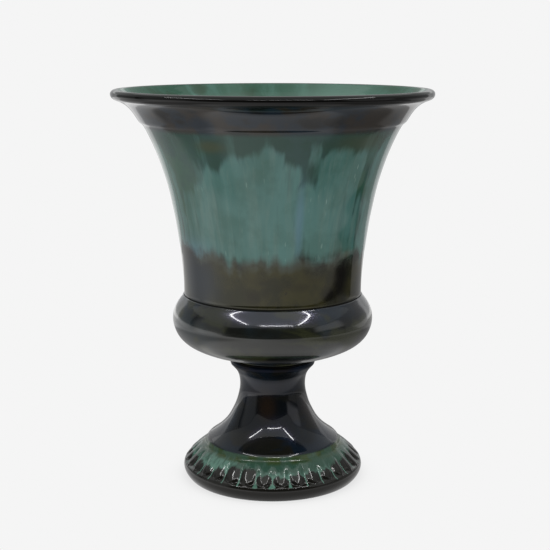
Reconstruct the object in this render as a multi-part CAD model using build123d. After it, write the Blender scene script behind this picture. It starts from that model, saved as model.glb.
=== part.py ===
from build123d import *
import math
import os

# Urn vase of glazed pottery, in millimetres
# The origin is the middle of the foot on the table, and +Z is the turning axis
# Heights are stacked from the table up, so that each length moves what stands on it

# Foot ring of the pedestal and the ground face that it stands on
foot_radius = 61.8
foot_round = 8.5
foot_round_top = 24.0
foot_round_bottom = 48.0
foot_edge_height = 1.6
foot_contact_inset = 3.4
foot_contact_width = 5.4
ring_width = 14.4
ring_height = 22.6

# Gadroons round the foot ring
gadroon_count = 32
gadroon_height = 1.5
gadroon_root = 1.6
gadroon_valley = 0.9

# Riser, cone, waist and collar of the pedestal
riser_width = 2.8
riser_height = 4.1
cone_height = 37.0
stem_radius = 22.2
collar_rise = 15.1
collar_radius = 28.9
collar_edge_height = 3.4
pedestal_wall = 5.2

# Slip that lutes the pieces together
slip_thickness = 0.8
slip_bead = 0.5
slip_groove = 0.5

# Belly
belly_radius = 67.9
belly_round = 19.7
belly_round_turn = 55.0
belly_rise = 28.7
belly_pad_height = 1.2
belly_floor = 6.6
belly_shoulder_height = 16.2
seam_radius = 60.0
bowl_wall = 5.0

# Flared bell with its ledge, band and rolled lip
bell_rise = 113.2
bell_spread = 25.5
ledge_width = 2.7
ledge_height = 2.3
band_height = 14.5
band_spread = 16.7
lip_bead_radius = 3.4
lip_bead_start = -60.0
lip_bead_end = 120.0

# Shares of the foot ring's slope, from the riser out to the round: travel, then fall
slope_shares = (0.46, 0.41)
# Shares of one gadroon, from the riser to the round: way along, height, width
gadroon_shares = (
    (0.04, 0.10, 0.90),
    (0.32, 0.80, 1.00),
    (0.78, 0.95, 0.95),
    (1.00, 0.12, 0.50),
)
# Shares of the pedestal above its waist, up to the collar: spread, then rise
stem_shares = (0.36, 0.66)
# Shares of the pedestal below its waist, down to the riser: spread, then fall
cone_shares = ((0.14, 0.37), (0.54, 0.775))
# Shares of the belly's underside, from its pad out to its round: travel, then rise
underside_shares = (0.55, 0.42)
# Shares of the belly's shoulder, from its widest ring up to the seam: draw-in, then rise
shoulder_shares = (0.26, 0.49)
# Shares of the bell's wall, from the seam up to the ledge: spread, then rise
wall_shares = ((0.066, 0.26), (0.264, 0.52), (0.556, 0.77))
# Shares of the band, from the ledge up to the lip: spread, then rise
band_shares = (0.26, 0.45)

# Numbers of chords that stand for each round stretch
foot_chord_count = 4
slope_chord_count = 2
stem_chord_count = 3
cone_chord_count = 4
underside_chord_count = 2
belly_chord_count = 3
shoulder_chord_count = 3
wall_chord_count = 5
band_chord_count = 2
bead_chord_count = 5


def chords(curve, count, inset=0.0):
    """Points spaced along a curve, moved by inset to the left of its travel."""
    points = []
    for step in range(count + 1):
        way = step / count
        tangent = curve % way
        points.append(curve @ way + inset * Vector(-tangent.Y, tangent.X))
    return points


def between(start, end, shares):
    """The point at a share of the radius and a share of the height from start to end."""
    across, along = shares
    return Vector(start.X + across * (end.X - start.X), start.Y + along * (end.Y - start.Y))


def round_arc(centre, radius, start_angle, end_angle):
    """A circle's arc about centre, by its two angles in degrees."""
    return CenterArc(centre, radius, start_angle, end_angle - start_angle)


def turned(outline):
    """The solid that an outline of radii and heights makes about the axis."""
    return revolve(Plane.XZ * make_face(Polyline(*outline, close=True)), Axis.Z)


# Outer curves of the pedestal, drawn downwards
cove = Vector(foot_radius - ring_width, ring_height)
crown = cove + Vector(-riser_width, riser_height)
waist = Vector(stem_radius, crown.Y + cone_height)
collar = Vector(collar_radius, waist.Y + collar_rise)
pedestal_top = collar.Y + collar_edge_height
round_drop = foot_round * math.sin(math.radians(foot_round_bottom))
foot_centre = Vector(foot_radius - foot_round, foot_edge_height + round_drop)
foot_contact_radius = foot_radius - foot_contact_inset

stem = Spline(
    collar,
    between(waist, collar, stem_shares),
    waist,
    tangents=[waist - collar, Vector(0, -1)],
)
cone = Spline(
    waist,
    *[between(waist, crown, shares) for shares in cone_shares],
    crown,
    tangents=[Vector(0, -1), crown - between(waist, crown, cone_shares[-1])],
)
foot_arc = round_arc(foot_centre, foot_round, foot_round_top, -foot_round_bottom)
slope = Spline(cove, between(cove, foot_arc @ 0, slope_shares), foot_arc @ 0)


def valley_point(way, height_share):
    """The point below the slope's crest line where a gadroon's valley lies."""
    tangent = slope % way
    return slope @ way - gadroon_height * height_share * Vector(-tangent.Y, tangent.X)


def gadroon_section(way, height_share, width_share):
    """One slice across a gadroon, square to the slope's crest line."""
    crest = slope @ way
    valley = valley_point(way, height_share)
    root = valley + (valley - crest).normalized() * gadroon_root
    half_turn_tangent = math.tan(math.pi / gadroon_count)
    valley_half = (valley.X * half_turn_tangent - gadroon_valley / 2) * width_share
    root_half = (root.X * half_turn_tangent - gadroon_valley / 2) * width_share
    left = Vector(valley.X, -valley_half, valley.Y)
    right = Vector(valley.X, valley_half, valley.Y)
    top = ThreePointArc(left, Vector(crest.X, 0, crest.Y), right)
    sides = Polyline(
        right,
        Vector(root.X, root_half, root.Y),
        Vector(root.X, -root_half, root.Y),
        left,
    )
    return make_face(Wire([top, *sides.edges()]))


def gadroon():
    """One gadroon, lofted through its slices."""
    return loft([gadroon_section(*shares) for shares in gadroon_shares], ruled=True)


def pedestal_outside():
    """The pedestal's skin from the collar down to the ground, with bare valleys on the ring."""
    return [
        Vector(collar_radius, pedestal_top),
        *chords(stem, stem_chord_count),
        *chords(cone, cone_chord_count)[1:],
        cove,
        *[valley_point(way, height) for way, height, _ in gadroon_shares],
        *chords(foot_arc, foot_chord_count)[1:],
        Vector(foot_contact_radius, 0),
    ]


def pedestal_inside():
    """The hollow down the stem and under the foot, a wall's depth inside the skin."""
    ring_depth = pedestal_wall + gadroon_height
    return [
        Vector(stem_radius - pedestal_wall, pedestal_top),
        *chords(cone, cone_chord_count, -pedestal_wall),
        chords(slope, slope_chord_count, -ring_depth)[1],
        Vector(foot_contact_radius - foot_contact_width, 0),
    ]


# The pedestal is one hollow casting, open below, with the gadroons round its foot
pedestal_turned = turned([*pedestal_outside(), *reversed(pedestal_inside())])
turn = 360 / gadroon_count
gadroons = [Rot(0, 0, (index + 0.5) * turn) * gadroon() for index in range(gadroon_count)]
pedestal_casting = pedestal_turned + gadroons

# Outer curves of the belly, drawn upwards from the pad that stands on the pedestal
seat_height = pedestal_top + slip_thickness
pad_edge = Vector(collar_radius, seat_height + belly_pad_height)
belly_widest = Vector(belly_radius, seat_height + belly_rise)
belly_centre = belly_widest - Vector(belly_round, 0)
belly_top = Vector(seam_radius, belly_widest.Y + belly_shoulder_height)
inner_widest = belly_widest - Vector(bowl_wall, 0)
inner_top = belly_top - Vector(bowl_wall, 0)

belly_arc = round_arc(belly_centre, belly_round, -belly_round_turn, 0.0)
inner_arc = round_arc(belly_centre, belly_round - bowl_wall, -belly_round_turn, 0.0)
underside = Spline(pad_edge, between(pad_edge, belly_arc @ 0, underside_shares), belly_arc @ 0)


def shoulder_points(start, end):
    """Points of a belly's shoulder after its start, from its widest ring up to its edge."""
    middle = between(start, end, shoulder_shares)
    return chords(ThreePointArc(start, middle, end), shoulder_chord_count)[1:]


# The belly is a round casting with a flat floor, over the pad that stands on the pedestal
floor_height = seat_height + belly_floor
belly_casting = turned([
    Vector(0, seat_height),
    Vector(collar_radius, seat_height),
    *chords(underside, underside_chord_count),
    *chords(belly_arc, belly_chord_count)[1:],
    *shoulder_points(belly_widest, belly_top),
    *reversed(shoulder_points(inner_widest, inner_top)),
    *reversed(chords(inner_arc, belly_chord_count)),
    Vector(collar_radius, floor_height),
    Vector(0, floor_height),
])

# Outer curves of the bell, drawn upwards from the seam
seam = belly_top + Vector(0, slip_thickness)
ledge_foot = seam + Vector(bell_spread, bell_rise)
ledge = ledge_foot + Vector(ledge_width, ledge_height)
band_end = ledge + Vector(band_spread, band_height)
bead_centre = band_end - Vector(lip_bead_radius, 0).rotate(Axis.Z, lip_bead_start)

wall = Spline(seam, *[between(seam, ledge_foot, shares) for shares in wall_shares], ledge_foot)
band = Spline(ledge, between(ledge, band_end, band_shares), band_end)
bead = round_arc(bead_centre, lip_bead_radius, lip_bead_start, lip_bead_end)

# The bell is a flared casting, with its lip rolled over
bell_casting = turned([
    seam - Vector(bowl_wall, 0),
    *chords(wall, wall_chord_count),
    *chords(band, band_chord_count),
    *chords(bead, bead_chord_count)[1:],
    chords(band, band_chord_count, bowl_wall)[1],
    *reversed(chords(wall, wall_chord_count, bowl_wall)[1:]),
])

# Slip fills both joints: it swells out under the belly and stays back in a groove under the bell
pedestal_luting_slip = turned([
    Vector(stem_radius - pedestal_wall, pedestal_top),
    Vector(collar_radius, pedestal_top),
    Vector(collar_radius + slip_bead, pedestal_top + slip_thickness / 2),
    Vector(collar_radius, seat_height),
    Vector(stem_radius - pedestal_wall, seat_height),
])
bell_luting_slip = turned([
    inner_top,
    belly_top - Vector(slip_groove, 0),
    seam - Vector(slip_groove, 0),
    seam - Vector(bowl_wall, 0),
])

os.makedirs("parts", exist_ok=True)
export_step(bell_casting, "parts/bell_casting.step")
export_step(bell_luting_slip, "parts/bell_luting_slip.step")
export_step(belly_casting, "parts/belly_casting.step")
export_step(pedestal_luting_slip, "parts/pedestal_luting_slip.step")
export_step(pedestal_casting, "parts/pedestal_casting.step")
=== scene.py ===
"""Looks of the glazed urn vase, built round its packed construction model.

Every length is in millimetres in the sizes below and in metres in the meshes.
Azimuth is measured in degrees from the front of the vase, -Y, towards +X.
"""

import logging
import math
from dataclasses import dataclass, replace
from enum import Enum
from typing import ClassVar

import bpy
import numpy as np
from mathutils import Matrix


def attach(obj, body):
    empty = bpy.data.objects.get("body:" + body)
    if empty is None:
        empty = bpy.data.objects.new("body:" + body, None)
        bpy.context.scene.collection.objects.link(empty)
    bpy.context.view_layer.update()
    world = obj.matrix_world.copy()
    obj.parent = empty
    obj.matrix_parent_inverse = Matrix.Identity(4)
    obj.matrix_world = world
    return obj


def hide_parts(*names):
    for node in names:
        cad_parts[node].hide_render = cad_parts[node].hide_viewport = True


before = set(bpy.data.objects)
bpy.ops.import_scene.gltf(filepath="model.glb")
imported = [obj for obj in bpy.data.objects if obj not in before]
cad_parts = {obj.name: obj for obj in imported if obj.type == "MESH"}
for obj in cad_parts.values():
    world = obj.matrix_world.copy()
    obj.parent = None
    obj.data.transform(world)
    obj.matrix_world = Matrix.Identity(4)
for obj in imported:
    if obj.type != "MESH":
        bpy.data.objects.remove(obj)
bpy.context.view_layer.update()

MM = 0.001
IMAGE_SIDE = 550
LOG = logging.getLogger("urn_vase")

Socket = bpy.types.NodeSocket
Colour = tuple[float, float, float]
Triple = tuple[float, float, float]
Knots = tuple[tuple[float, float], ...]
# Where a pattern starts and ends, then what it goes from and to where that isn't 0 and 1
Span = tuple[float, ...]
Paint = Socket | Colour


class Field(Enum):
    """The per-vertex fields that the glazes read."""

    FLOW = "flow"
    RUN = "run"
    TEAL = "teal_run"
    BROWN = "brown_patch"
    BLUE = "blue_bloom"
    MOSS = "moss"
    RISE = "rise"
    HOLLOW = "hollow"
    SHADE = "shade"


# Curves and meshes

# Samples to each knot while the length of a curve is measured
FINE_STEPS = 40
# Radius of the cylinder that the flow is wrapped round
FLOW_RADIUS = 75.0
# Radius under which a row of a skin is one pole
POLE_RADIUS = 1e-6


@dataclass(frozen=True)
class Curve:
    """A smooth curve of radii and heights through its knots."""

    knots: Knots

    def points(self, count: int) -> np.ndarray:
        """Samples the curve evenly along its length.

        The formula is a natural cubic spline of radius and of height over the length
        of the chords from knot to knot.

        Args:
            count: How many samples to take, both ends among them.

        Returns:
            An array of count rows of radius and height.
        """
        knots = np.array(self.knots, float)
        way = np.concatenate([[0.0], np.cumsum(np.hypot(*np.diff(knots, axis=0).T))])
        steps = np.diff(way)
        size = len(knots)
        system = np.zeros((size, size))
        bends = np.zeros((size, 2))
        system[0, 0] = system[-1, -1] = 1.0
        inner = np.arange(1, size - 1)
        system[inner, inner - 1] = steps[:-1]
        system[inner, inner] = 2 * (steps[:-1] + steps[1:])
        system[inner, inner + 1] = steps[1:]
        rates = np.diff(knots, axis=0) / steps[:, None]
        bends[inner] = 6 * (rates[1:] - rates[:-1])
        bends = np.linalg.solve(system, bends)
        fine = np.linspace(0, way[-1], FINE_STEPS * size)
        where = np.clip(np.searchsorted(way, fine, side="right") - 1, 0, size - 2)
        step = steps[where][:, None]
        left = (way[where + 1] - fine)[:, None]
        right = (fine - way[where])[:, None]
        path = (
            (bends[where] * left**3 + bends[where + 1] * right**3) / (6 * step)
            + (knots[where] / step - bends[where] * step / 6) * left
            + (knots[where + 1] / step - bends[where + 1] * step / 6) * right
        )
        length = np.concatenate([[0.0], np.cumsum(np.hypot(*np.diff(path, axis=0).T))])
        even = np.linspace(0, length[-1], count)
        return np.stack([np.interp(even, length, path[:, axis]) for axis in (0, 1)], axis=1)


@dataclass
class Section:
    """The outline of a turned piece, as rows of radius and height."""

    rows: np.ndarray

    @classmethod
    def joined(cls, stretches: list[tuple[Knots, int]]) -> "Section":
        """Joins curves, given as knots and a number of samples, without the end of each."""
        sampled = [Curve(knots).points(count)[:-1] for knots, count in stretches]
        return cls(np.concatenate(sampled))

    def lengths(self) -> np.ndarray:
        """The way along the outline, in millimetres, at each row."""
        steps = np.hypot(*np.diff(self.rows, axis=0).T)
        return np.concatenate([[0.0], np.cumsum(steps)])

    def normals(self, closed: bool) -> np.ndarray:
        """Finds the direction out of the wall at each row.

        The formula turns the travel from the row before to the row after by a right angle.

        Args:
            closed: Whether the last row leads back to the first.

        Returns:
            Unit vectors of radius and height, one for each row.
        """
        if closed:
            travel = np.roll(self.rows, -1, axis=0) - np.roll(self.rows, 1, axis=0)
        else:
            travel = np.gradient(self.rows, axis=0)
        normal = np.stack([travel[:, 1], -travel[:, 0]], axis=1)
        return normal / np.hypot(*normal.T)[:, None]


@dataclass(frozen=True)
class Grid:
    """The azimuth, height, radius and way along the outline at each point of a skin."""

    azimuth: np.ndarray
    height: np.ndarray
    radius: np.ndarray
    way: np.ndarray


def around(azimuth: np.ndarray, radius: np.ndarray | float, height: np.ndarray) -> np.ndarray:
    """Places in metres, from azimuths in degrees and radii and heights in millimetres."""
    turn = np.radians(azimuth)
    return np.stack([radius * np.sin(turn), -radius * np.cos(turn), height], axis=-1) * MM


def added(name: str, data: bpy.types.ID) -> bpy.types.Object:
    """Adds an object to the scene.

    Args:
        name: Its name.
        data: Its mesh, lamp or camera.

    Returns:
        The object, at the origin.
    """
    obj = bpy.data.objects.new(name, data)
    bpy.context.scene.collection.objects.link(obj)
    return obj


@dataclass
class TurnedSkin:
    """A section turned about the axis on a grid, with relief along its normals."""

    name: str
    section: Section
    columns: int
    closed: bool = True
    bunches: int = 1
    bunching: float = 0.0

    def azimuths(self) -> np.ndarray:
        """Spaces the columns evenly, or draws them together round evenly spaced bunches.

        The formula is an even angle less a share of its sine, in each bunch's share of
        the turn.

        Returns:
            The azimuth of each column in degrees, from -180 up.
        """
        even = -180 + 360 * np.arange(self.columns) / self.columns
        turn = np.radians(even * self.bunches)
        return even - np.degrees(self.bunching * np.sin(turn)) / self.bunches

    def grid(self) -> Grid:
        """Spreads the columns and the rows over the skin.

        Returns:
            The grid.
        """
        turns = self.azimuths()
        azimuth, height = np.meshgrid(turns, self.section.rows[:, 1])
        _, radius = np.meshgrid(turns, self.section.rows[:, 0])
        _, way = np.meshgrid(turns, self.section.lengths())
        return Grid(azimuth, height, radius, way)

    def build(
        self, relief: np.ndarray | None, fields: dict[Field, np.ndarray]
    ) -> bpy.types.Object:
        """Turns the section into a mesh.

        The formula puts each point at its radius and height plus the relief along its
        row's normal. A row of no radius becomes one pole. The flow, which runs of glaze
        follow, is the azimuth wrapped round a cylinder with the way along the outline as
        its height, so that a pattern drawn out along it runs down the wall with no seam.

        Args:
            relief: Height of the relief in millimetres on the grid, or none.
            fields: The values of each field on the grid.

        Returns:
            The new object, at the origin.
        """
        grid = self.grid()
        normals = self.section.normals(self.closed)
        raised = np.zeros_like(grid.height) if relief is None else relief
        radius = grid.radius + raised * normals[:, :1]
        points = around(grid.azimuth, radius, grid.height + raised * normals[:, 1:])
        index = np.arange(radius.size).reshape(radius.shape)
        pole = self.section.rows[:, 0] < POLE_RADIUS
        index[pole] = index[pole][:, :1]
        used, place_in_mesh = np.unique(index, return_inverse=True)
        index = place_in_mesh.reshape(index.shape)
        lower = index if self.closed else index[:-1]
        upper = np.roll(index, -1, axis=0) if self.closed else index[1:]
        quads = np.stack(
            [lower, np.roll(lower, -1, axis=1), np.roll(upper, -1, axis=1), upper], axis=2
        ).reshape(-1, 4)
        low_pole = quads[:, 0] == quads[:, 1]
        high_pole = quads[:, 2] == quads[:, 3]
        faces = quads[~low_pole & ~high_pole].tolist()
        faces += quads[low_pole & ~high_pole][:, [0, 2, 3]].tolist()
        faces += quads[high_pole & ~low_pole][:, [0, 1, 2]].tolist()
        mesh = bpy.data.meshes.new(self.name)
        mesh.from_pydata(points.reshape(-1, 3)[used], [], faces)
        mesh.update()
        mesh.shade_smooth()
        flow = around(grid.azimuth, FLOW_RADIUS, grid.way)
        for field, values in {Field.FLOW: flow, **fields}.items():
            kind, key = ("FLOAT_VECTOR", "vector") if field is Field.FLOW else ("FLOAT", "value")
            layer = mesh.attributes.new(field.value, kind, "POINT")
            values = values.reshape(index.size, -1)[used]
            layer.data.foreach_set(key, values.astype(np.float32).ravel())
        return added(self.name, mesh)


def smoothstep(values: np.ndarray, low: float, high: float) -> np.ndarray:
    """Goes from 0 at low to 1 at high along 3t squared less 2t cubed."""
    share = np.clip((values - low) / (high - low), 0, 1)
    return share * share * (3 - 2 * share)


def angle_from(azimuth: np.ndarray, centre: float) -> np.ndarray:
    """The signed angle from centre to azimuth in degrees, the short way round."""
    return (azimuth - centre + 180) % 360 - 180


def swell(azimuth: np.ndarray, centre: float, half: float) -> np.ndarray:
    """A rise to 1 at centre: e to the power of minus the square of the way over half."""
    return np.exp(-(angle_from(azimuth, centre) / half) ** 2)


def joined(knots: Knots, places: np.ndarray) -> np.ndarray:
    """Reads places off the straight lines that join knots of place and value."""
    return np.interp(places, *np.array(knots).T)


def ripples(azimuth: np.ndarray, orders: tuple[int, ...], seed: int) -> np.ndarray:
    """Makes a ring of gentle waves about 0.

    The formula is a sum of sines of the given orders, each of a random phase, and of a
    random size over the root of its order.

    Args:
        azimuth: Azimuths on the grid.
        orders: How many waves each sine has in a turn.
        seed: Seed of the random draws.

    Returns:
        The waves on the grid.
    """
    dice = np.random.default_rng(seed)
    phases = dice.uniform(0, 2 * math.pi, len(orders))
    sizes = dice.uniform(0.5, 1.0, len(orders)) / np.sqrt(np.array(orders))
    turn = np.radians(azimuth)
    waves = zip(orders, phases, sizes)
    return sum(size * np.sin(order * turn + phase) for order, phase, size in waves)


@dataclass(frozen=True)
class Patch:
    """A soft patch of glaze: its middle, half its size and how strong it is."""

    azimuth: float
    height: float
    half_turn: float
    half_height: float
    strength: float = 1.0

    def on(self, grid: Grid) -> np.ndarray:
        """Finds the patch's strength.

        The formula is e to the power of minus the cube of the way out over half the size.

        Args:
            grid: The skin's grid.

        Returns:
            The strength on the grid.
        """
        across = angle_from(grid.azimuth, self.azimuth) / self.half_turn
        along = (grid.height - self.height) / self.half_height
        return self.strength * np.exp(-np.hypot(across, along) ** 3)


@dataclass(frozen=True)
class Tongue:
    """A run of thick glaze down a wall: its middle, half its width, its top and its foot.

    The top is arched, and its sides and ends are soft over the spans in capitals.
    """

    ARCH: ClassVar[float] = 4.5
    SIDES: ClassVar[Span] = (0.72, 1.28)
    TOP: ClassVar[Span] = (-5.0, 6.0)
    FOOT: ClassVar[Span] = (-5.0, 5.0)

    azimuth: float
    half_turn: float
    top: float
    strength: float = 1.0
    foot: float = 140.0

    def on(self, grid: Grid) -> np.ndarray:
        """Finds the run's strength.

        The formula is 1 between soft sides, a soft foot and a top that is arched by
        the square of the way across.

        Args:
            grid: The skin's grid.

        Returns:
            The strength on the grid.
        """
        across = np.abs(angle_from(grid.azimuth, self.azimuth)) / self.half_turn
        sides = 1 - smoothstep(across, *self.SIDES)
        top = smoothstep(self.top - self.ARCH * across**2 - grid.height, *self.TOP)
        return self.strength * sides * top * smoothstep(grid.height - self.foot, *self.FOOT)


def strongest(marks: tuple[Patch | Tongue, ...], grid: Grid) -> np.ndarray:
    """The strongest patch or run at each point of a grid."""
    return np.maximum.reduce([mark.on(grid) for mark in marks])


# Materials

WHITE = (1.0, 1.0, 1.0)
LIP_BLACK = (0.003, 0.0025, 0.002)
MOSSY = (0.028, 0.088, 0.056)
# Depth of the waves and the grain in the glazes and the clay, in metres
BUMP_DEPTH = 0.0002
# Index of refraction of the glazes and the clay
IOR = 1.5
# The colour sockets of a Mix node, which has others for numbers and places
MIX_FIRST, MIX_SECOND, MIX_RESULT = 6, 7, 2


class Sum(Enum):
    """The sums that a Math node does here."""

    PLUS = "ADD"
    LESS = "SUBTRACT"
    TIMES = "MULTIPLY"
    SIZE = "ABSOLUTE"


class Ending(Enum):
    """The output node that a tree ends in."""

    MATERIAL = "ShaderNodeOutputMaterial"
    LAMP = "ShaderNodeOutputLight"
    WORLD = "ShaderNodeOutputWorld"


@dataclass(frozen=True)
class Grain:
    """A cloudy pattern: how fine and rough it is, and how it is squeezed up and down.

    It is read along the flow of the glaze if it is flowing, and else off the object.
    """

    scale: float
    detail: float = 3.0
    roughness: float = 0.5
    distortion: float = 0.0
    squeeze: float = 1.0
    flowing: bool = False


STREAKS = Grain(95, 4, 0.6, 0.0, 0.16, True)
CLOUDS = Grain(45, 4, 0.55)
BLUE_CLOUDS = Grain(26)
OLIVE_CLOUDS = Grain(34, 3, 0.5, 0.4, 1.7)
WAVES = Grain(90, 2)


@dataclass(frozen=True)
class Layer:
    """A named colour, laid over others by a field, or as a pattern goes over a span."""

    name: str
    colour: Colour
    by: Field | Grain | None = None
    span: Span = ()


Layers = tuple[Layer, ...]
# The thinner teal glaze that lines the bell and the belly
LINING = (
    Layer("teal", (0.024, 0.094, 0.057)),
    Layer("pale", (0.058, 0.160, 0.120), STREAKS, (0.44, 0.68)),
    Layer("moss", (0.019, 0.058, 0.027), CLOUDS, (0.50, 0.66, 0.0, 0.8)),
    Layer("milky runs", (0.100, 0.200, 0.155), Field.TEAL),
)


class Graph:
    """The node tree of a material, a lamp or the world. Most methods add a node to it."""

    def __init__(self, owner: bpy.types.Material | bpy.types.AreaLight | bpy.types.World) -> None:
        """Empties a tree.

        Args:
            owner: What the tree belongs to.
        """
        self.owner = owner
        owner.use_nodes = True
        self.tree = owner.node_tree
        self.tree.nodes.clear()

    @classmethod
    def of_material(cls, name: str) -> "Graph":
        """Starts the tree of a new material."""
        return cls(bpy.data.materials.new(name))

    def node(
        self, kind: str, inputs: dict[str | int, object] | None = None, **settings: object
    ) -> bpy.types.Node:
        """Adds a node.

        Args:
            kind: The node's type.
            inputs: An output or a plain value for each socket, by its name or number.
            settings: A value for each property.

        Returns:
            The new node.
        """
        made = self.tree.nodes.new(kind)
        for key, value in settings.items():
            setattr(made, key, value)
        for key, value in (inputs or {}).items():
            self.feed(made.inputs[key], value)
        return made

    def feed(self, socket: Socket, value: object) -> None:
        """Links an output to a socket, or sets the socket to a plain value.

        Args:
            socket: The socket.
            value: The output, the number or the row of three numbers.
        """
        if isinstance(value, bpy.types.NodeSocket):
            self.tree.links.new(value, socket)
        elif socket.type == "RGBA":
            socket.default_value = (*value, 1.0)
        else:
            socket.default_value = value

    def end(self, shader: Socket, ending: Ending) -> None:
        """Links a shader to the tree's output."""
        self.node(ending.value, {0: shader})

    def field(self, name: Field) -> Socket:
        """Reads one of the mesh's fields: a place for the flow, a number for the rest."""
        made = self.node("ShaderNodeAttribute", attribute_name=name.value)
        return made.outputs["Vector" if name is Field.FLOW else "Fac"]

    def object_place(self) -> Socket:
        """The place on the object, in metres."""
        return self.node("ShaderNodeTexCoord").outputs["Object"]

    def squeezed(self, place: Socket, squeeze: float) -> Socket:
        """Scales a place up and down."""
        parts = {"Vector": place, "Scale": (1.0, 1.0, squeeze)}
        return self.node("ShaderNodeMapping", parts).outputs["Vector"]

    def noise(self, grain: Grain) -> Socket:
        """Makes a cloudy number about 0.5.

        Args:
            grain: The pattern.

        Returns:
            The number.
        """
        place = self.field(Field.FLOW) if grain.flowing else self.object_place()
        if grain.squeeze != 1.0:
            place = self.squeezed(place, grain.squeeze)
        parts = {
            "Vector": place, "Scale": grain.scale, "Detail": grain.detail,
            "Roughness": grain.roughness, "Distortion": grain.distortion,
        }
        return self.node("ShaderNodeTexNoise", parts).outputs["Fac"]

    def specks(self, scale: float, squeeze: float) -> Socket:
        """The distance along the flow to the nearest of many scattered points."""
        parts = {"Vector": self.squeezed(self.field(Field.FLOW), squeeze), "Scale": scale}
        return self.node("ShaderNodeTexVoronoi", parts).outputs["Distance"]

    def maths(self, what: Sum, first: Socket | float, second: Socket | float = 0.0) -> Socket:
        """One sum on one or two numbers."""
        return self.node("ShaderNodeMath", {0: first, 1: second}, operation=what.value).outputs[0]

    def plus(self, first: Socket, second: Socket) -> Socket:
        """Adds two numbers."""
        return self.maths(Sum.PLUS, first, second)

    def times(self, first: Socket | float, second: Socket | float) -> Socket:
        """Multiplies two numbers."""
        return self.maths(Sum.TIMES, first, second)

    def ramp(
        self, value: Socket, low: float, high: float, start: float = 0.0, end: float = 1.0
    ) -> Socket:
        """Goes smoothly from start to end as value goes from low to high."""
        parts = {"Value": value, "From Min": low, "From Max": high, "To Min": start, "To Max": end}
        return self.node("ShaderNodeMapRange", parts, interpolation_type="SMOOTHSTEP").outputs[0]

    def share(self, by: Field | Grain, span: Span = ()) -> Socket:
        """Reads a field or a pattern, as it goes over a span if there is one."""
        value = self.noise(by) if isinstance(by, Grain) else self.field(by)
        return self.ramp(value, *span) if span else value

    def ragged(self, value: Socket, by: Grain, span: Span) -> Socket:
        """Adds what a pattern goes through over a span to a number."""
        return self.plus(value, self.share(by, span))

    def mix(self, share: Socket, first: Paint, second: Paint, name: str = "") -> Socket:
        """The first colour where share is 0 and the second where it is 1."""
        parts = {0: share, MIX_FIRST: first, MIX_SECOND: second}
        return self.node("ShaderNodeMix", parts, data_type="RGBA", label=name).outputs[MIX_RESULT]

    def layered(self, layers: Layers, under: Paint | None = None) -> Socket:
        """Lays colours over one another in turn.

        Args:
            layers: The layers. The first is the ground, unless there is a colour under it.
            under: The colour under them all.

        Returns:
            The colour on top.
        """
        if under is None:
            under, layers = layers[0].colour, layers[1:]
        for layer in layers:
            under = self.mix(self.share(layer.by, layer.span), under, layer.colour, layer.name)
        return under

    def lined(self, outside: Socket) -> Socket:
        """Lays the lining over a colour where the wall faces the hollow."""
        return self.mix(self.field(Field.HOLLOW), outside, self.layered(LINING), "lining")

    def bump(self, grain: Grain, strength: float) -> Socket:
        """Tilts the normal by the height of a pattern."""
        parts = {"Height": self.noise(grain), "Distance": BUMP_DEPTH, "Strength": strength}
        return self.node("ShaderNodeBump", parts).outputs["Normal"]

    def emission(self, strength: Socket | float) -> Socket:
        """A white glow."""
        return self.node("ShaderNodeEmission", {"Strength": strength}).outputs[0]

    def split(self, lit: Socket, shown: Socket) -> Socket:
        """Joins the shader that lights the vase to the plain one that the camera sees."""
        rays = self.node("ShaderNodeLightPath").outputs["Is Camera Ray"]
        return self.node("ShaderNodeMixShader", {0: rays, 1: lit, 2: shown}).outputs[0]

    def finish(
        self, colour: Socket, roughness: Socket | float, normal: Socket, **settings: Socket | float
    ) -> bpy.types.Material:
        """Ends the tree in one Principled shader.

        Args:
            colour: Base colour.
            roughness: Roughness, an output or a plain value.
            normal: The bumped normal.
            settings: More of the shader's sockets, with _ for each space.

        Returns:
            The material.
        """
        parts = {"Base Color": colour, "Roughness": roughness, "Normal": normal, "IOR": IOR}
        parts |= {key.replace("_", " "): value for key, value in settings.items()}
        self.end(self.node("ShaderNodeBsdfPrincipled", parts).outputs[0], Ending.MATERIAL)
        return self.owner


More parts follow.
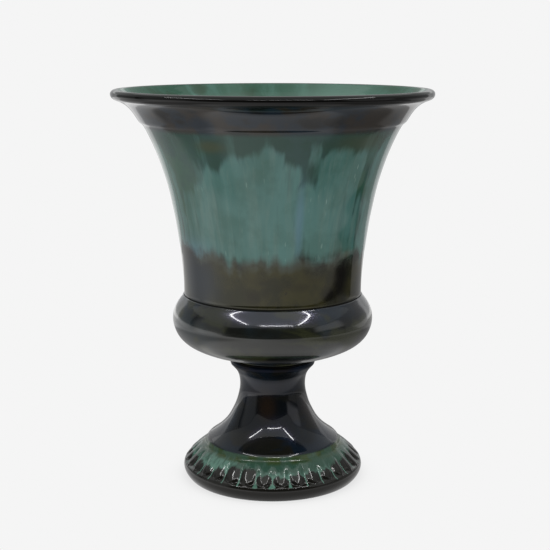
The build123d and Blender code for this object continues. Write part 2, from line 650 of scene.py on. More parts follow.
@dataclass(frozen=True)
class BellGlaze:
    """Teal glaze that has run down over dark bronze, with a brown band and lip."""

    below: Layers = (
        Layer("dark bronze", (0.009, 0.010, 0.005)),
        Layer("bronze", (0.030, 0.027, 0.008), CLOUDS, (0.40, 0.60)),
        Layer("umber", (0.003, 0.002, 0.002), Field.BROWN),
        Layer("bluish", (0.007, 0.013, 0.020), Field.BLUE),
    )
    ground: Layers = (
        Layer("green", (0.012, 0.050, 0.036)),
        Layer("moss", MOSSY, Field.MOSS),
        Layer("deep teal", (0.020, 0.060, 0.054), CLOUDS, (0.42, 0.62, 0.0, 0.8)),
    )
    runs: Layers = (
        Layer("teal", (0.052, 0.146, 0.126)),
        Layer("pale", (0.078, 0.190, 0.172), Grain(38, 3, 0.5, 0.0, 0.30, True), (0.38, 0.60)),
        Layer(
            "grey", (0.110, 0.200, 0.175), Grain(210, 4, 0.65, 0.25, 0.12, True),
            (0.42, 0.70, 0.0, 0.62),
        ),
        Layer("mossy", MOSSY, CLOUDS, (0.56, 0.36, 0.0, 0.34)),
    )
    marks: Layers = (
        Layer("blue streak", (0.110, 0.220, 0.290), Field.BLUE),
        Layer("ochre", (0.048, 0.058, 0.022), Field.BROWN),
    )
    band: Layers = (
        Layer("brown", (0.020, 0.014, 0.009)),
        Layer("blue", (0.006, 0.013, 0.022), CLOUDS, (0.44, 0.58)),
        Layer("stains", LIP_BLACK, Grain(38, 3, 0.5, 0.0, 2.2), (0.52, 0.62)),
        Layer("placed stains", LIP_BLACK, Field.BROWN),
    )
    # How the runs' edges stray along the streaks, and how soft they are
    run_streaks: Span = (0.28, 0.72, -0.42, 0.42)
    run_edge: Span = (0.06, 0.84)
    # The drip line, and the thin teal in patches under it, by the height above it
    drip_streaks: Span = (0.25, 0.75, -2.0, 2.0)
    drip_clouds: Span = (0.30, 0.70, -2.5, 2.5)
    drip_edge: Span = (-4.5, 4.5)
    thin_teal: Colour = (0.050, 0.060, 0.048)
    thin_reach: Span = (-10.0, -3.5)
    thin_clouds: Span = (0.40, 0.62, 0.1, 0.8)
    # The white specks in the runs
    speck: Colour = (0.26, 0.38, 0.35)
    speck_scale: float = 560.0
    speck_squeeze: float = 0.22
    speck_size: Span = (0.12, 0.30, 1.0, 0.0)
    speck_streaks: Span = (0.55, 0.64, 0.0, 0.5)
    # Where the band and the lip start, by the rise
    band_start: Span = (0.4, 1.0)
    lip_start: Span = (1.2, 2.0)
    # The gloss
    roughness: Span = (0.3, 0.7, 0.056, 0.091)
    bronze_tint: Colour = (1.0, 0.97, 0.80)
    tint_end: Span = (-9.0, 0.0)
    lip_gloss: Span = (1.1, 1.9, 0.5, 0.26)
    wave_strength: float = 0.06

    def wall(self, graph: Graph, fade: Socket) -> Socket:
        """Colours the wall: runs and specks over green, and bronze under the drip line.

        Args:
            graph: The glaze's node tree.
            fade: The height above the ragged drip line, in millimetres.

        Returns:
            The colour.
        """
        thick = graph.ragged(graph.field(Field.TEAL), STREAKS, self.run_streaks)
        ground, runs = graph.layered(self.ground), graph.layered(self.runs)
        upper = graph.mix(graph.ramp(thick, *self.run_edge), ground, runs)
        upper = graph.layered(self.marks, upper)
        dots = graph.ramp(graph.specks(self.speck_scale, self.speck_squeeze), *self.speck_size)
        sown = graph.times(dots, graph.share(STREAKS, self.speck_streaks))
        upper = graph.mix(graph.times(sown, graph.field(Field.TEAL)), upper, self.speck)
        thin = graph.share(CLOUDS, self.thin_clouds)
        thin = graph.times(graph.ramp(fade, *self.thin_reach), thin)
        lower = graph.mix(thin, graph.layered(self.below), self.thin_teal)
        return graph.mix(graph.ramp(fade, *self.drip_edge), lower, upper)

    def material(self) -> bpy.types.Material:
        """Makes the glaze of the bell.

        Returns:
            The material.
        """
        graph = Graph.of_material("bell_glaze")
        fade = graph.ragged(graph.field(Field.RUN), STREAKS, self.drip_streaks)
        fade = graph.ragged(fade, CLOUDS, self.drip_clouds)
        band = graph.share(Field.RISE, self.band_start)
        colour = graph.mix(band, self.wall(graph, fade), graph.layered(self.band))
        colour = graph.mix(graph.share(Field.RISE, self.lip_start), colour, LIP_BLACK)
        tint = graph.mix(graph.field(Field.BLUE), self.bronze_tint, WHITE)
        return graph.finish(
            graph.lined(colour), graph.share(CLOUDS, self.roughness),
            graph.bump(WAVES, self.wave_strength),
            Specular_Tint=graph.mix(graph.ramp(fade, *self.tint_end), tint, WHITE),
            Specular_IOR_Level=graph.share(Field.RISE, self.lip_gloss),
        )


@dataclass(frozen=True)
class DarkGlaze:
    """A black glaze with a lustre: a clear coat over a hazier, tinted gloss."""

    name: str
    clouds: Layers = (
        Layer("black", (0.005, 0.0055, 0.0035)),
        Layer("blue", (0.007, 0.014, 0.018), BLUE_CLOUDS, (0.43, 0.58)),
        Layer("olive", (0.022, 0.024, 0.009), OLIVE_CLOUDS, (0.50, 0.60)),
    )
    haze: Colour = (1.0, 1.0, 0.96)
    violet_haze: Colour = (0.60, 0.57, 1.0)
    haze_roughness: float = 0.24
    haze_level: float = 0.26
    coat: Span = (0.0, 1.0, 1.0, 0.04)
    coat_roughness: float = 0.085
    coat_ior: float = 1.5
    wave_strength: float = 0.05

    def lustre(self, graph: Graph, colour: Socket) -> bpy.types.Material:
        """Ends a tree in this glaze's gloss.

        Args:
            graph: The glaze's node tree.
            colour: The colour under the gloss.

        Returns:
            The material.
        """
        return graph.finish(
            colour, self.haze_roughness, graph.bump(WAVES, self.wave_strength),
            Specular_IOR_Level=self.haze_level,
            Specular_Tint=graph.mix(graph.field(Field.BLUE), self.haze, self.violet_haze),
            Coat_Weight=graph.share(Field.SHADE, self.coat),
            Coat_Roughness=self.coat_roughness, Coat_IOR=self.coat_ior,
        )

    def material(self) -> bpy.types.Material:
        """The glaze of the belly."""
        graph = Graph.of_material(self.name)
        return self.lustre(graph, graph.lined(graph.layered(self.clouds)))


@dataclass(frozen=True)
class FootGlaze(DarkGlaze):
    """The black glaze of the stem, and teal that has pooled between brown gadroons below it."""

    clouds: Layers = (
        Layer("black", (0.002, 0.0035, 0.004)),
        Layer("blue", (0.003, 0.009, 0.017), BLUE_CLOUDS, (0.43, 0.58)),
        Layer("olive", (0.007, 0.007, 0.004), OLIVE_CLOUDS, (0.50, 0.60)),
        Layer("brown", (0.018, 0.010, 0.004), Field.BROWN),
    )
    haze_level: float = 0.11
    coat_roughness: float = 0.055
    coat_ior: float = 1.42
    streaks: Grain = Grain(240, 3, 0.6, 0.0, 0.35, True)
    # The teal, paler where it is thick, and olive on the riser where it is wet
    teal: Colour = (0.036, 0.090, 0.062)
    pale_teal: Colour = (0.135, 0.275, 0.215)
    thick_streaks: Span = (0.35, 0.70, -0.45, 0.45)
    thick_edge: Span = (0.0, 1.1)
    riser_olive: Colour = (0.040, 0.068, 0.016)
    wet_spots: Grain = Grain(120, 2)
    wet_edge: Span = (0.38, 0.60, 0.25, 1.0)
    # The brown, where the glaze is thin on the lobes
    lobe_brown: Colour = (0.007, 0.006, 0.004)
    thin_streaks: Span = (0.3, 0.7, -0.34, 0.34)
    thin_edge: Span = (0.12, 0.66)

    def material(self) -> bpy.types.Material:
        """Makes the glaze of the pedestal.

        Returns:
            The material.
        """
        graph = Graph.of_material(self.name)
        thick = graph.ragged(graph.field(Field.TEAL), self.streaks, self.thick_streaks)
        teal = graph.mix(graph.ramp(thick, *self.thick_edge), self.teal, self.pale_teal)
        wet = graph.times(graph.field(Field.MOSS), graph.share(self.wet_spots, self.wet_edge))
        teal = graph.mix(wet, teal, self.riser_olive)
        thin = graph.ragged(graph.field(Field.RUN), self.streaks, self.thin_streaks)
        ring = graph.mix(graph.ramp(thin, *self.thin_edge), teal, self.lobe_brown)
        dark = graph.layered(self.clouds)
        return self.lustre(graph, graph.mix(graph.field(Field.RISE), ring, dark))


@dataclass(frozen=True)
class SlipClay:
    """Fired clay slip under a thin wash of dark glaze."""

    clay: Colour = (0.004, 0.0035, 0.0035)
    pale_clay: Colour = (0.008, 0.007, 0.007)
    grain: Grain = Grain(400, 4, 0.6)
    grain_strength: float = 0.2
    roughness: float = 0.6
    gloss: float = 0.1

    def material(self) -> bpy.types.Material:
        """Makes the slip's finish.

        Returns:
            The material.
        """
        graph = Graph.of_material("slip_clay")
        colour = graph.mix(graph.noise(self.grain), self.clay, self.pale_clay)
        normal = graph.bump(self.grain, self.grain_strength)
        return graph.finish(colour, self.roughness, normal, Specular_IOR_Level=self.gloss)


# Pieces


def place(
    piece: bpy.types.Object, material: bpy.types.Material, slot: str, nodes: tuple[str, ...]
) -> None:
    """Dresses a piece, sets it on the vase's body and lets it stand for its nodes.

    Args:
        piece: The piece.
        material: Its finish.
        slot: The name of the finish's slot; it is not used.
        nodes: The solids that the piece stands for.
    """
    piece.data.materials.append(material)
    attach(piece, "root")
    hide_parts(*nodes)
    LOG.info("%s: %d faces, stands for %s", piece.name, len(piece.data.polygons), ", ".join(nodes))


@dataclass
class Bell:
    """The flared upper bowl with its ledge, band and rolled lip."""

    columns: int = 448
    glaze_relief: float = 0.12
    relief_edge: Span = (-1.5, 3.0)
    relief_top: Span = (225, 240)
    band_rise: Span = (235.0, 244.0)
    lip_rise: Span = (257.0, 259.5)
    lip_inside: Span = (0.4, 2.2)
    moss_centre: float = 5.0
    moss_sides: Span = (32, 48)
    least_moss: float = 0.15
    moss_top: Span = (222, 240)
    sway: float = 0.9
    raggedness: float = 3.0
    line_raggedness: float = 0.7
    wall: Knots = (
        (60.2, 128.7), (60.05, 129.5), (60.0, 131.0), (60.3, 138.7), (60.9, 147.0), (61.7, 155.3),
        (62.7, 163.5), (63.9, 171.7), (65.2, 179.9), (66.8, 188.0), (68.5, 196.1), (70.5, 204.2),
        (72.9, 212.2), (75.6, 220.2), (78.8, 228.2), (82.5, 236.1), (84.6, 240.1), (85.6, 241.7),
    )
    ledge: Knots = ((85.6, 241.7), (86.5, 242.8), (87.6, 243.6), (88.3, 244.3), (89.7, 246.4))
    band: Knots = ((89.7, 246.4), (92.2, 250.2), (95.2, 253.7), (98.4, 256.2), (101.5, 257.8))
    lip: Knots = (
        (101.5, 257.8), (103.6, 258.5), (105.4, 259.6), (106.4, 261.2), (106.5, 262.6),
        (105.8, 264.0), (104.6, 264.8), (103.2, 265.0), (101.6, 264.6), (100.0, 263.6),
    )
    inside: Knots = (
        (100.0, 263.6), (96.0, 260.4), (91.4, 256.8), (86.4, 251.0), (81.1, 244.3), (75.6, 233.0),
        (71.1, 222.3), (64.3, 199.4), (59.4, 176.2), (56.1, 152.6), (55.0, 128.9),
    )
    foot: Knots = ((55.0, 128.9), (55.2, 128.7), (60.0, 128.7), (60.2, 128.7))
    front_runs: tuple[Tongue, ...] = (
        Tongue(-70, 6, 232, 0.90), Tongue(-60, 2.5, 222, 0.75), Tongue(-50, 6, 206, 0.75),
        Tongue(-40, 5, 207, 0.80), Tongue(-29.5, 7, 220, 0.85), Tongue(-19.5, 7, 226, 0.92),
        Tongue(-10, 6, 231, 0.95), Tongue(-1, 6.5, 233), Tongue(8, 5.5, 225, 0.95),
        Tongue(17.5, 8, 209, 0.90), Tongue(19, 3, 238, 0.60, 222), Tongue(31, 8.5, 233),
        Tongue(43, 6.5, 229, 0.95), Tongue(53, 3.5, 200, 0.45), Tongue(66, 8, 236, 0.95),
    )
    # The back has this many runs, between two azimuths and up to this far off an even place
    back_runs: int = 19
    back: tuple[float, float] = (80, 276)
    back_shift: float = 5.0
    # The least and the most half turn, top and strength of a run at the back
    least_run: Triple = (3.5, 204, 0.55)
    most_run: Triple = (10.5, 233, 0.95)
    drip_line: Knots = (
        (-180, 160), (-150, 156), (-125, 161), (-100, 157), (-80, 162), (-62, 165), (-52, 161),
        (-44, 165), (-37, 167), (-30, 162.5), (-18, 161), (-8, 162), (0, 162), (8, 162),
        (14, 162.5), (22, 161), (30, 160), (38, 159.5), (52, 161), (70, 161), (95, 156),
        (120, 161), (150, 156), (180, 160),
    )
    # The drips below the line, as azimuth, half turn and drop
    drips: tuple[Triple, ...] = (
        (-26, 2.0, 5), (-20, 1.6, 3), (68, 2.5, 6), (104, 3, 9), (131, 2, 5), (163, 2.5, 7),
        (-77, 3, 6), (-112, 2.5, 8), (-158, 3, 6),
    )
    stains: tuple[Patch, ...] = (
        Patch(-48, 248, 4, 1.6), Patch(-38, 248, 2.5, 1.6), Patch(-58, 250, 3, 2),
        Patch(12, 249, 3, 2, 0.6), Patch(-28, 233, 7, 4, 0.75), Patch(-12, 137, 5, 6, 0.9),
        Patch(-4, 139, 3, 4, 0.5), Patch(8, 139.5, 0.7, 0.8), Patch(26, 150, 6, 5, 0.35),
        Patch(45, 146, 8, 17, 0.95), Patch(-8, 147, 7, 3, 0.4), Patch(16, 143, 9, 3, 0.4),
        Patch(92, 231, 7, 5, 0.6), Patch(138, 140, 9, 7, 0.8), Patch(-128, 234, 8, 5, 0.6),
        Patch(-95, 138, 7, 6, 0.7), Patch(176, 229, 6, 5, 0.5), Patch(44, 235, 17, 6, 0.5),
        Patch(37, 137, 6, 6, 0.9), Patch(49, 159, 5, 6, 0.8),
    )
    blooms: tuple[Patch, ...] = (
        Patch(14.5, 186, 2.4, 24, 0.55), Patch(-54, 143, 20, 24, 1.0), Patch(118, 190, 3, 22, 0.5),
        Patch(-140, 184, 3, 24, 0.5), Patch(100, 142, 14, 20, 0.8), Patch(-170, 142, 12, 20, 0.8),
    )
    inner_runs: tuple[Patch, ...] = (
        Patch(147, 256, 23, 18, 0.9), Patch(-163, 250, 6, 30, 0.35), Patch(60, 240, 14, 40, 0.6),
        Patch(-70, 235, 10, 40, 0.6), Patch(5, 225, 16, 40, 0.7),
    )

    def run_field(self, grid: Grid) -> np.ndarray:
        """Finds the height above the ragged foot of the teal, in millimetres.

        The formula takes the height less a line that joins the drip line's knots, with
        ripples on it, and lowers the line by a swell where a drip has gone further down.

        Args:
            grid: The skin's grid.

        Returns:
            The signed distance on the grid, positive in the teal.
        """
        line = joined(self.drip_line, grid.azimuth)
        line += self.line_raggedness * ripples(grid.azimuth, (11, 17, 29, 41), 4)
        for centre, half, drop in self.drips:
            line -= drop * swell(grid.azimuth, centre, half)
        return grid.height - line

    def all_runs(self) -> tuple[Tongue, ...]:
        """Adds the runs round the back, at random, to those seen from the front.

        Returns:
            The runs.
        """
        dice = np.random.default_rng(11)
        made = []
        for middle in np.linspace(*self.back, self.back_runs):
            half, top, strength = dice.uniform(self.least_run, self.most_run)
            middle += dice.uniform(-self.back_shift, self.back_shift)
            made.append(Tongue(middle, half, top, strength))
        return self.front_runs + tuple(made)

    def inner_share(self, grid: Grid) -> np.ndarray:
        """Finds how far each point is over the lip's crest.

        Args:
            grid: The skin's grid.

        Returns:
            The share on the grid, from 0 outside to 1 inside.
        """
        crest = int(np.argmax(grid.height[:, 0]))
        over = smoothstep(grid.radius[crest] - grid.radius, *self.lip_inside)
        over[:crest] = 0.0
        return over

    def build(self) -> None:
        """Builds and dresses the bell."""
        section = Section.joined([
            (self.wall, 88), (self.ledge, 9), (self.band, 16), (self.lip, 22), (self.inside, 68),
            (self.foot, 5),
        ])
        skin = TurnedSkin("bell", section, self.columns)
        grid = skin.grid()
        azimuth, height = grid.azimuth, grid.height
        inner = self.inner_share(grid)
        run = self.run_field(grid)
        swayed = azimuth + self.sway * ripples(3 * height, (3, 7, 13), 3)
        ragged = height + self.raggedness * ripples(azimuth, (31, 47, 73, 101), 8)
        worn = replace(grid, azimuth=swayed, height=ragged)
        runs, inner_runs = strongest(self.all_runs(), worn), strongest(self.inner_runs, worn)
        relief = self.glaze_relief * smoothstep(run, *self.relief_edge)
        relief *= 1 - smoothstep(height, *self.relief_top)
        rise = smoothstep(height, *self.band_rise) + smoothstep(height, *self.lip_rise)
        moss = smoothstep(np.abs(angle_from(azimuth, self.moss_centre)), *self.moss_sides)
        moss = np.clip(moss + self.least_moss, 0, 1) * (1 - smoothstep(height, *self.moss_top))
        piece = skin.build(np.where(inner > 0, 0, relief), {
            Field.RUN: run,
            Field.TEAL: np.where(inner > 0, inner_runs, runs),
            Field.BROWN: strongest(self.stains, grid),
            Field.BLUE: strongest(self.blooms, grid),
            Field.MOSS: moss,
            Field.RISE: rise,
            Field.HOLLOW: inner,
        })
        place(piece, BellGlaze().material(), "bell_glaze", ("bell_casting",))


@dataclass
class Belly:
    """The round belly with its floor and the pad that stands on the pedestal."""

    columns: int = 400
    # The middle of the wall, as heights and radii, which parts the inside from the outside
    wall_middle: Knots = (
        (89.5, 40), (94.4, 52), (102.9, 62.5), (111.7, 65.4), (123, 61.5), (127.9, 57.5),
    )
    least_inside: float = 89.3
    pad_shade: Span = (84.3, 85.6)
    violet_rise: Span = (114.0, 123.0)
    pad: Knots = ((0.0, 83.0), (14.0, 83.0), (28.4, 83.0))
    pad_edge: Knots = ((28.4, 83.0), (28.8, 83.2), (28.9, 83.9), (29.4, 84.4))
    underside: Knots = (
        (29.4, 84.4), (38.0, 86.9), (47.8, 89.9), (55.5, 93.2), (59.8, 95.8), (62.7, 98.4),
        (65.0, 101.4), (66.6, 104.8), (67.6, 108.2), (67.9, 111.7),
    )
    shoulder: Knots = (
        (67.9, 111.7), (67.52, 115.2), (66.5, 118.7), (65.51, 120.7), (64.6, 122.2), (63.21, 124.2),
        (61.72, 126.2), (61.17, 127.0), (60.7, 127.75),
    )
    edge: Knots = ((60.7, 127.75), (60.5, 127.9), (55.2, 127.9), (55.0, 127.7))
    inside: Knots = (
        (55.0, 127.7), (58.9, 123.2), (61.6, 117.7), (62.9, 111.7), (62.2, 107.1), (60.0, 102.9),
        (56.6, 99.7), (44.0, 94.4), (28.9, 89.9), (14.0, 89.6), (0.0, 89.6),
    )

    def build(self) -> None:
        """Builds and dresses the belly."""
        section = Section.joined([
            (self.pad, 8), (self.pad_edge, 5), (self.underside, 60), (self.shoulder, 48),
            (self.edge, 6), (self.inside, 50),
        ])
        section.rows = np.append(section.rows, [self.inside[-1]], axis=0)
        skin = TurnedSkin("belly", section, self.columns, closed=False)
        grid = skin.grid()
        inner = grid.radius < joined(self.wall_middle, grid.height)
        piece = skin.build(None, {
            Field.HOLLOW: np.where(inner & (grid.height > self.least_inside), 1.0, 0.0),
            Field.SHADE: 1 - smoothstep(grid.height, *self.pad_shade),
            Field.BLUE: smoothstep(grid.height, *self.violet_rise),
        })
        place(piece, DarkGlaze("belly_glaze").material(), "belly_glaze", ("belly_casting",))


@dataclass
class Pedestal:
    """The hollow pedestal with its collar, waist, cone, riser and gadrooned foot ring."""

    gadroon_count: int = 32
    columns_to_gadroon: int = 18
    bunching: float = 0.5
    gadroon_depth: float = 1.5
    ring_top: float = 22.6
    relief_full: float = 15.0
    lobe_end: float = 11.2
    lobe_tip: float = 4.5
    lobe_fade: Span = (9.5, 12.5)
    thinnest: float = 0.001
    # The brown on the gadroons: its top and the swells in it, as azimuth, half turn and height
    brown_top: float = 16.3
    brown_swells: tuple[Triple, ...] = ((-22, 9, 3.0), (1, 9, -1.2))
    brown_right: float = 2.0
    right_side: Span = (35, 60)
    unevenness: float = 0.6
    brown_dome: float = 1.4
    brown_edge: Span = (-2.6, 1.6)
    brown_width: float = 0.93
    side_edge: Span = (-0.07, 0.07)
    bare_foot: Span = (9.0, 10.8)
    # The teal that has pooled, which is thicker to the left and cuts into the brown in front
    pooled: Triple = (-1, 13, 0.34)
    pooled_rise: Span = (-13.5, -10.4)
    left_pool: Triple = (-44, 20, 0.8)
    left_rise: Span = (-24.0, -21.0)
    pool_rise: Span = (-19.5, -15.5)
    # Where the outside of the foot ends, and the middle of its wall as heights and radii
    outer_radius: float = 43.0
    outer_heights: tuple[float, float] = (0.01, 27.5)
    wall_middle: Knots = ((0, 54), (12.2, 51.5), (22.7, 43), (27, 38))
    dark_rise: Span = (25.4, 26.6)
    moss_rise: Span = (20.5, 23.2)
    collar_shade: Span = (71.5, 75.0)
    violet_rise: Span = (24.0, 28.0)
    top: Knots = ((17.0, 82.2), (28.2, 82.2), (28.7, 82.1))
    collar: Knots = ((28.7, 82.1), (28.95, 81.6), (29.0, 79.6), (28.6, 78.6))
    stem: Knots = (
        (28.6, 78.6), (26.1, 75.9), (24.6, 73.9), (23.6, 71.9), (22.75, 68.6), (22.4, 63.7),
        (22.9, 59.1), (24.0, 54.5), (25.5, 49.9), (27.7, 45.2), (30.42, 40.3), (34.68, 35.0),
        (40.1, 30.2), (42.4, 28.5), (43.4, 27.8),
    )
    crown: Knots = (
        (43.4, 27.8), (44.6, 26.9), (45.4, 26.0), (46.0, 25.0), (46.4, 24.1), (46.9, 23.3),
        (47.6, 22.7), (48.7, 22.0),
    )
    ring: Knots = (
        (48.7, 22.0), (51.2, 20.2), (53.9, 18.0), (56.2, 15.9), (58.2, 14.0), (59.8, 12.1),
        (60.9, 10.4), (61.55, 8.7), (61.8, 7.3),
    )
    foot: Knots = ((61.8, 7.3), (61.5, 5.3), (60.4, 2.9), (59.2, 1.2), (58.4, 0.35), (58.0, 0.0))
    contact: Knots = ((58.0, 0.0), (53.0, 0.0))
    hollow: Knots = (
        (53.0, 0.0), (51.9, 6.0), (50.3, 12.2), (46.6, 18.2), (41.3, 22.7), (32.3, 29.8),
        (24.4, 40.0), (19.4, 50.9), (17.2, 63.7), (17.0, 73.0), (17.0, 82.2),
    )
    stem_stains: tuple[Patch, ...] = (
        Patch(-9, 54, 14, 9, 0.9), Patch(70, 50, 20, 10, 0.7), Patch(150, 56, 25, 9, 0.8),
        Patch(-110, 52, 22, 10, 0.8),
    )

    def across(self, azimuth: np.ndarray) -> np.ndarray:
        """How far across its gadroon each point is, from 0 in the middle to 1 in the valley."""
        pitch = 360 / self.gadroon_count
        return np.abs((azimuth / pitch) % 1.0 - 0.5) * 2

    def lobe_width(self, height: np.ndarray) -> np.ndarray:
        """A gadroon's share of its pitch: 1 above, and down to 0 round a circle at its tip."""
        tip = np.clip((height - self.lobe_end) / self.lobe_tip, 0, 1)
        return np.sqrt(np.clip(1 - (1 - tip) ** 2, 0, 1))

    def depth(self, grid: Grid) -> np.ndarray:
        """Finds how deep the skin lies below the gadroons' crest line, in millimetres.

        The formula takes the way u across a gadroon over its width, and a depth of one
        and a half times u cubed less half of u to the 9th, which leaves the gadroon broad
        and rounds the valley's bottom. It fades out up the ring, and below the round tips.

        Args:
            grid: The skin's grid.

        Returns:
            The depth on the grid.
        """
        height = grid.height
        width = np.maximum(self.lobe_width(height), self.thinnest)
        share = np.clip(self.across(grid.azimuth) / width, 0, 1)
        valley = 1.5 * (share**3 - share**9 / 3)
        fade = smoothstep(-height, -self.ring_top, -self.relief_full)
        return self.gadroon_depth * fade * smoothstep(height, *self.lobe_fade) * valley

    def brown(self, grid: Grid) -> np.ndarray:
        """Where a gadroon's glaze is thin and brown, from 0 to 1.

        The formula is a soft top on each gadroon, at a height that differs from one to
        the next and falls by the square of the way across, times a soft edge beside the
        valley. In front, teal has pooled at the valleys' feet. The foot below is brown.

        Args:
            grid: The skin's grid.

        Returns:
            The brown share on the grid.
        """
        dice = np.random.default_rng(5)
        azimuth, height, count = grid.azimuth, grid.height, self.gadroon_count
        middle = (np.arange(count) + 0.5) * 360 / count - 180
        tops = self.brown_top + self.brown_right * smoothstep(middle, *self.right_side)
        for centre, half, lift in self.brown_swells:
            tops += lift * swell(middle, centre, half)
        tops += dice.uniform(-self.unevenness, self.unevenness, count)
        number = np.floor((azimuth + 180) / 360 * count).astype(int) % count
        across = self.across(azimuth)
        centre, half, most = self.pooled
        pooled = most * swell(azimuth, centre, half) * smoothstep(-height, *self.pooled_rise)
        dome = tops[number] - self.brown_dome * across**2
        lobe = smoothstep(dome - height, *self.brown_edge)
        lobe *= smoothstep(self.brown_width - pooled - across, *self.side_edge)
        return np.maximum(lobe, 1 - smoothstep(height, *self.bare_foot))

    def pooling(self, grid: Grid) -> np.ndarray:
        """Finds how thick the ring's teal is.

        The formula rises down the ring, and adds a swell on the front left of its slope.

        Args:
            grid: The skin's grid.

        Returns:
            The thickness on the grid, where 1 is thick.
        """
        centre, half, most = self.left_pool
        left = most * swell(grid.azimuth, centre, half)
        left *= smoothstep(-grid.height, *self.left_rise)
        return smoothstep(-grid.height, *self.pool_rise) + left

    def build(self) -> None:
        """Builds and dresses the pedestal."""
        section = Section.joined([
            (self.top, 5), (self.collar, 7), (self.stem, 46), (self.crown, 18), (self.ring, 44),
            (self.foot, 10), (self.contact, 3), (self.hollow, 22),
        ])
        section.rows = section.rows[::-1]
        columns = self.gadroon_count * self.columns_to_gadroon
        skin = TurnedSkin("pedestal", section, columns, True, self.gadroon_count, self.bunching)
        grid = skin.grid()
        height, (low, high) = grid.height, self.outer_heights
        outer = (grid.radius > self.outer_radius) & (height > low) & (height < high)
        outer &= grid.radius > joined(self.wall_middle, height)
        piece = skin.build(np.where(outer, -self.depth(grid), 0.0), {
            Field.RUN: np.where(outer, self.brown(grid), 0.0),
            Field.MOSS: smoothstep(height, *self.moss_rise),
            Field.TEAL: self.pooling(grid),
            Field.BROWN: strongest(self.stem_stains, grid),
            Field.RISE: np.where(outer, smoothstep(height, *self.dark_rise), 1.0),
            Field.SHADE: smoothstep(height, *self.collar_shade),
            Field.BLUE: smoothstep(height, *self.violet_rise),
        })
        finish = FootGlaze("pedestal_glaze").material()
        place(piece, finish, "pedestal_glaze", ("pedestal_casting",))


@dataclass
class LutingSlips:
    """The two rings of slip that join the pieces."""

    columns: int = 320
    bell_ring: Knots = ((55.0, 127.9), (60.35, 127.9), (60.2, 128.3), (60.0, 128.7), (55.0, 128.7))
    pedestal_ring: Knots = ((17.0, 82.2), (28.8, 82.2), (29.35, 82.6), (28.8, 83.0), (17.0, 83.0))

    def build(self) -> None:
        """Builds and dresses both rings."""
        finish = SlipClay().material()
        rings = {"bell_luting_slip": self.bell_ring, "pedestal_luting_slip": self.pedestal_ring}
        for name, knots in rings.items():
            sides = [(knots[0:2], 4), (knots[1:4], 7), (knots[3:5], 4), ((knots[4], knots[0]), 3)]
            skin = TurnedSkin(name + "_ring", Section.joined(sides), self.columns)
            piece = skin.build(None, {})
            place(piece, finish, "slip_clay", (name,))


# Studio


@dataclass(frozen=True)
class Panel:
    """A flat lamp: its middle, its two sizes, the way it faces and how bright it is.

    Soft is the share of each half side over which the light fades out at the ends.
    """

    name: str
    middle: Triple
    size: tuple[float, float]
    turn: Triple
    radiance: float
    colour: Colour = WHITE
    soft: tuple[float, float] = (0.0, 0.0)

    def fade(self, lamp: bpy.types.AreaLight) -> None:
        """Fades the lamp out at its ends, by a smooth step over the way in from each edge.

        Args:
            lamp: The lamp.
        """
        graph = Graph(lamp)
        place = graph.node("ShaderNodeNewGeometry").outputs["Parametric"]
        sides = graph.node("ShaderNodeSeparateXYZ", {0: place}).outputs
        glow = 1.0
        for axis, soft in zip("XY", self.soft):
            if soft:
                off_middle = graph.maths(Sum.SIZE, graph.maths(Sum.LESS, sides[axis], 0.5))
                glow = graph.times(glow, graph.ramp(off_middle, 0.5 * (1 - soft), 0.5, 1, 0))
        graph.end(graph.emission(glow), Ending.LAMP)

    def light(self) -> None:
        """Makes the lamp, which the camera itself doesn't see."""
        lamp = bpy.data.lights.new(self.name, "AREA")
        lamp.shape = "RECTANGLE"
        lamp.size, lamp.size_y = self.size
        lamp.energy = self.radiance * math.pi * self.size[0] * self.size[1]
        lamp.color = self.colour
        if any(self.soft):
            self.fade(lamp)
        holder = added(self.name, lamp)
        holder.location = self.middle
        holder.rotation_euler = tuple(math.radians(angle) for angle in self.turn)
        holder.visible_camera = False


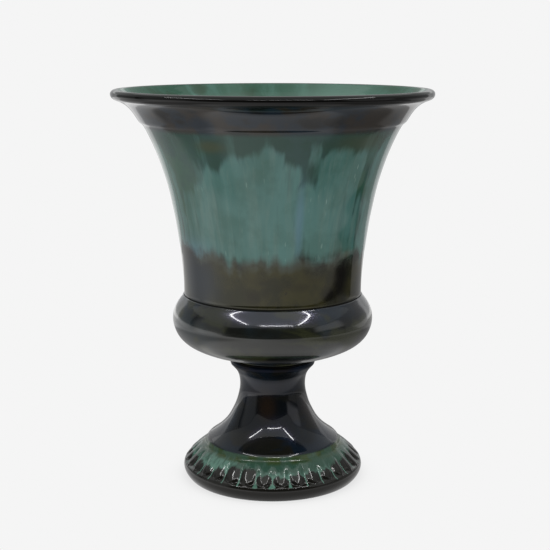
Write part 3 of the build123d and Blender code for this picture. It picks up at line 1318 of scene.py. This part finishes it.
@dataclass
class Studio:
    """A pale light tent: floor, backdrop and sides, thin strip lamps and an open front."""

    white: float = 0.913
    room: Colour = (0.050, 0.055, 0.060)
    strip_radiance: float = 38.0
    roof_height: float = 0.407
    cool: Colour = (0.97, 1.0, 0.98)
    # The floor's painted glow and painted shade: across, back, in the painted shadow behind the
    # vase, and at the foot, in metres
    glow_across: Span = (-0.30, 0.35, 1.02, 0.56)
    glow_back: Span = (-0.12, 0.22, 1.12, 0.62)
    shadow_lean: float = 0.7
    shadow_start: Span = (0.10, 0.20)
    shadow_end: Span = (0.33, 0.43, 1.0, 0.0)
    shadow_depth: Span = (0.0, 1.0, 1.0, 0.5)
    painted_foot_shade: Span = (0.058, 0.12, 0.55, 1.0)
    # The floor that the camera sees: a painted contact shadow in the corner under the foot
    contact_shade_reach: float = 0.02
    contact_shade_share: float = 0.84
    contact_shade_edge: Span = (0.2, 1.0)
    floor_quads: tuple[tuple[float, float, float, float], ...] = (
        (-1.6, -0.62, 0.485, 0.24), (-1.6, 0.24, 0.485, 1.6), (0.485, 0.24, 1.6, 1.6),
    )

    def panels(self) -> list[Panel]:
        """Lists the lamps of the tent: strips in a U under the roof, roof, backdrop and sides.

        Returns:
            The lamps.
        """
        strip, roof, cool = self.strip_radiance, self.roof_height, self.cool
        flat, left, right = (0, 0, 0), (0, -90, 0), (0, 90, 0)
        return [
            Panel("front_strip", (0.035, -0.390, roof), (0.29, 0.0105), flat, 1.15 * strip),
            Panel("left_strip", (-0.228, -0.205, roof), (0.011, 0.27), (0, 0, 12), 0.85 * strip),
            Panel("right_strip", (0.212, -0.215, roof), (0.010, 0.28), flat, strip),
            Panel("roof", (0.0, -0.10, roof + 0.005), (0.44, 0.56), flat, 0.50, cool),
            Panel("outer_roof", (-0.035, 0.22, roof + 0.02), (1.17, 1.56), flat, 0.42, cool),
            Panel("back", (0.0, 0.62, 0.21), (1.3, 0.42), (-90, 0, 0), 0.46),
            Panel("left_front", (-0.62, -0.20, 0.21), (0.42, 0.66), left, 0.36, cool, (0, 0.5)),
            Panel("left_back", (-0.62, 0.40, 0.21), (0.42, 0.86), left, 0.20, cool, (0, 0.4)),
            Panel("right_side", (0.53, 0.30, 0.21), (0.41, 0.7), right, 0.22),
            Panel("right_window", (0.53, -0.27, 0.275), (0.32, 0.58), right, 0.70, soft=(0.5, 0.5)),
            Panel("right_low", (0.53, -0.22, 0.08), (0.15, 0.44), right, 0.22, soft=(0, 0.5)),
        ]

    def floor_glow(self, graph: Graph) -> Socket:
        """Sets how bright the floor looks to the vase.

        The formula is a product of painted light and shade: it falls from left to right, from front
        to back, in the painted soft shadow that lies beside and behind the vase, and in painted
        shade close to the foot.

        Args:
            graph: The floor's node tree.

        Returns:
            The strength of its glow.
        """
        place = graph.object_place()
        x, y, _ = graph.node("ShaderNodeSeparateXYZ", {0: place}).outputs
        away = graph.node("ShaderNodeVectorMath", {0: place}, operation="LENGTH").outputs["Value"]
        glow = graph.times(graph.ramp(x, *self.glow_across), graph.ramp(y, *self.glow_back))
        # Painted shadow of the vase on the floor, beside and behind it
        leaning = graph.plus(away, graph.times(y, self.shadow_lean))
        near = graph.ramp(away, *self.shadow_end)
        shadow = graph.times(graph.ramp(leaning, *self.shadow_start), near)
        glow = graph.times(glow, graph.ramp(shadow, *self.shadow_depth))
        # Painted shade: the glow is dimmed close to the foot
        return graph.times(glow, graph.ramp(away, *self.painted_foot_shade))

    def build_floor(self) -> None:
        """Lays the pale floor: plain white to the camera, with a painted shadow where the foot
        meets it.
        """
        corners = []
        for left, front, right, back in self.floor_quads:
            corners += [(left, front, 0), (right, front, 0), (right, back, 0), (left, back, 0)]
        mesh = bpy.data.meshes.new("floor")
        quads = [tuple(range(start, start + 4)) for start in range(0, len(corners), 4)]
        mesh.from_pydata(corners, [], quads)
        floor = added("floor", mesh)
        graph = Graph.of_material("floor_white")
        reach = {"Distance": self.contact_shade_reach}
        # Painted contact shadow: the white is darkened by occlusion close to the foot
        contact_shade = graph.node("ShaderNodeAmbientOcclusion", reach, samples=16).outputs["AO"]
        darkest = self.contact_shade_share * self.white
        shown = graph.emission(graph.ramp(contact_shade, *self.contact_shade_edge, darkest, self.white))
        lit = graph.emission(self.floor_glow(graph))
        graph.end(graph.split(lit, shown), Ending.MATERIAL)
        mesh.materials.append(graph.owner)

    def build_world(self) -> None:
        """Surrounds the tent: plain white behind it, and a dim room for its light."""
        world = bpy.data.worlds.new("surround")
        bpy.context.scene.world = world
        graph = Graph(world)
        room = graph.node("ShaderNodeBackground", {"Color": self.room}).outputs[0]
        shown = graph.node("ShaderNodeBackground", {"Color": (self.white,) * 3}).outputs[0]
        graph.end(graph.split(room, shown), Ending.WORLD)

    def build(self) -> None:
        """Builds the whole studio."""
        self.build_floor()
        self.build_world()
        panels = self.panels()
        for panel in panels:
            panel.light()
        LOG.info("studio: %d lamps", len(panels))


@dataclass
class ViewCamera:
    """The camera at the photograph's viewing angle."""

    distance: float = 0.8057
    height: float = 0.298
    downward: float = 11.11
    lens: float = 79.07
    sensor: float = 36.0
    reach: tuple[float, float] = (0.01, 20.0)
    axis_column: float = 272.6

    def build(self) -> None:
        """Makes the camera and hands it to the scene."""
        data = bpy.data.cameras.new("view_camera")
        data.lens = self.lens
        data.sensor_width = self.sensor
        data.shift_x = (IMAGE_SIDE / 2 - self.axis_column) / IMAGE_SIDE
        data.clip_start, data.clip_end = self.reach
        holder = added("view_camera", data)
        holder.location = (0.0, -self.distance, self.height)
        holder.rotation_euler = (math.radians(90 - self.downward), 0.0, 0.0)
        bpy.context.scene.camera = holder
        bpy.context.scene.view_settings.view_transform = "Standard"


def main() -> None:
    """Builds the vase and its studio."""
    logging.basicConfig(level=logging.INFO, format="%(message)s")
    ViewCamera().build()
    Studio().build()
    Pedestal().build()
    Belly().build()
    Bell().build()
    LutingSlips().build()


if __name__ == "__main__":
    main()
